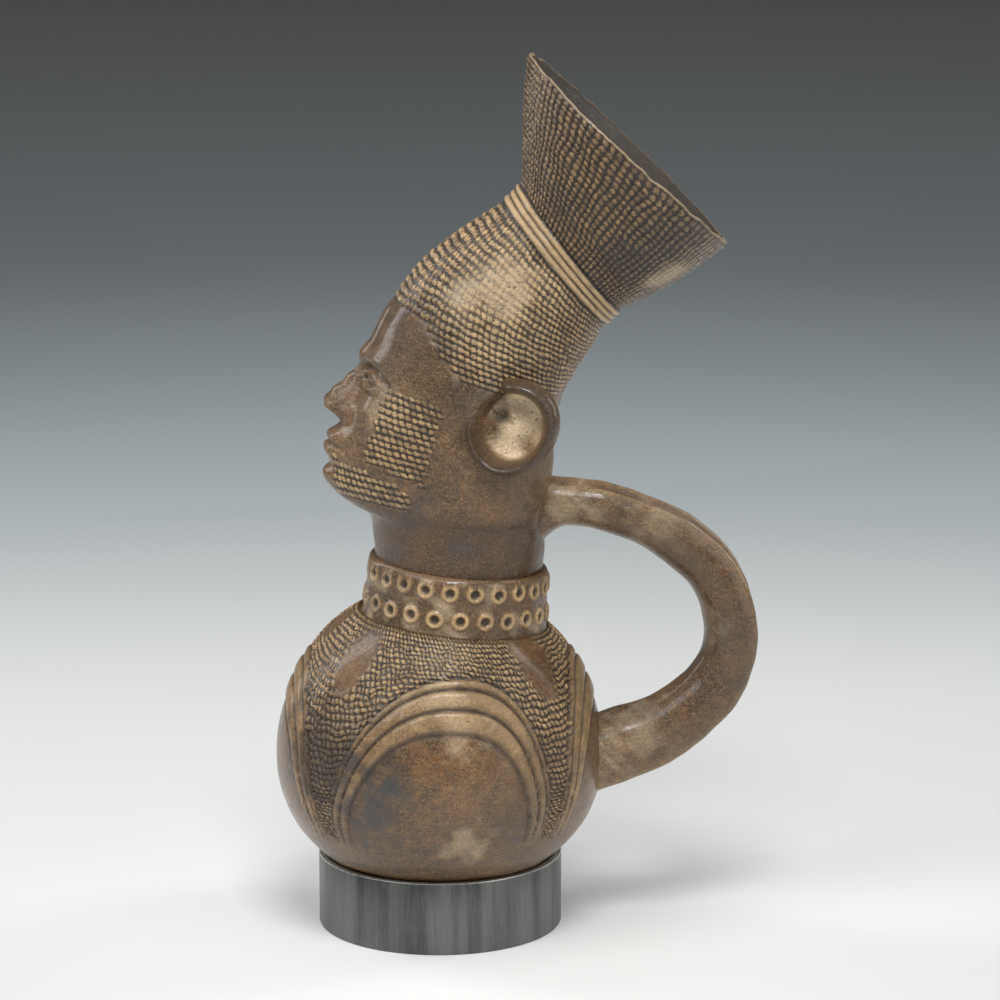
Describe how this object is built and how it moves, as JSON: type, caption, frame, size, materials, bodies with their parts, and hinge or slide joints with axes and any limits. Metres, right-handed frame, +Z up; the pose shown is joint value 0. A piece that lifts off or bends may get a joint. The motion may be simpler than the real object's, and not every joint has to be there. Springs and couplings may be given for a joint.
{
  "type": "figurative wine vessel",
  "caption": "Hollow burnished pottery wine jar: round belly, beaded collar, head whose flared hairdress is the mouth, and a loop handle, standing in a metal ring",
  "frame": {"origin": "the middle of the whole object's length and width, on the surface it stands on", "axes": "+Z up; the face looks along -X and the handle is on the +X side; XZ is the plane of symmetry"},
  "size_m": [0.1964, 0.1346, 0.3564],
  "materials": {
    "clay": "low-fired brown clay, burnished and smoke-mottled, with dusty raised texture and dark grooves",
    "ring_metal": "dark grey tube with lengthwise streaks and a bright cut upper rim"
  },
  "bodies": {
    "root": {"vessel": "clay", "ring_stand": "ring_metal"}
  },
  "joints": []
}
